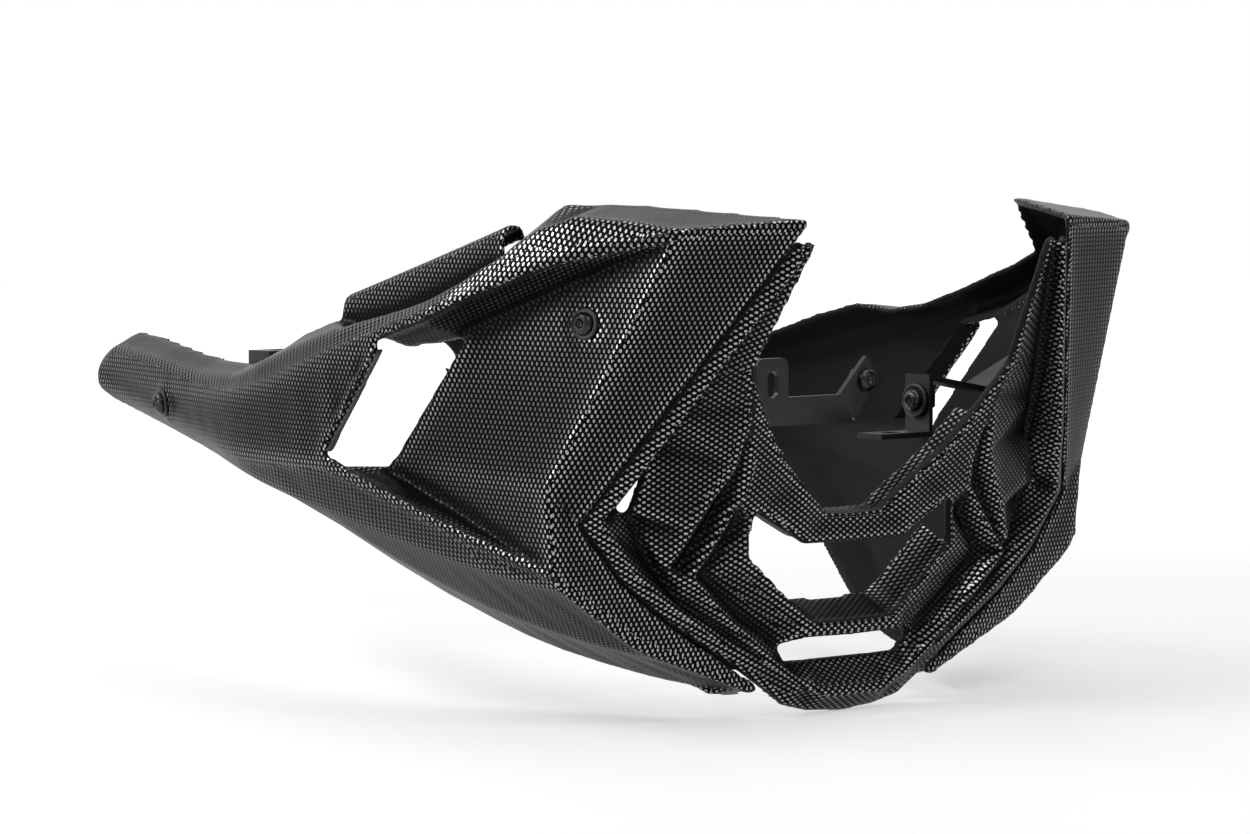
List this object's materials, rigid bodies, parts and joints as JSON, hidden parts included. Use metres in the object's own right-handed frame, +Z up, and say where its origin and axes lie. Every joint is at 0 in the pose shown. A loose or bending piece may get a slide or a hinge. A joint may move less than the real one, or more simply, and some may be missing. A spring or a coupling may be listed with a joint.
{
  "type": "motorcycle belly pan",
  "caption": "Motorcycle belly pan: folded side panels and an open grille nose in weave-look film, carried on bent steel brackets that bolt it under the engine.",
  "frame": {"origin": "midway between the slots in the feet of the arm brackets, on the upper face of the feet", "axes": "+X towards the nose along the bike, +Y towards the bike's left side, +Z up"},
  "size_m": [0.48, 0.392, 0.234],
  "materials": {
    "panel_film": "satin weave-look film outside, matt black plastic inside",
    "nose_film": "satin weave-look film outside, matt black plastic inside",
    "bracket_black": "satin black powder coat",
    "screw_black": "black oxide steel",
    "washer_black": "matt black rubber"
  },
  "bodies": {
    "root": {"right_side_panel": "panel_film", "left_side_panel": "panel_film", "nose_cowl": "nose_film", "arm_bracket_right": "bracket_black", "arm_bracket_left": "bracket_black", "engine_bracket": "bracket_black", "rear_bracket_right": "bracket_black", "rear_bracket_left": "bracket_black", "field_screws": "screw_black", "field_nuts": "screw_black", "field_washers": "washer_black", "tail_screws": "screw_black", "tail_nuts": "screw_black", "tail_washers": "washer_black", "arm_screws": "screw_black", "arm_nuts": "screw_black", "arm_washer": "screw_black", "ear_screws": "screw_black", "ear_nuts": "screw_black"}
  },
  "joints": []
}
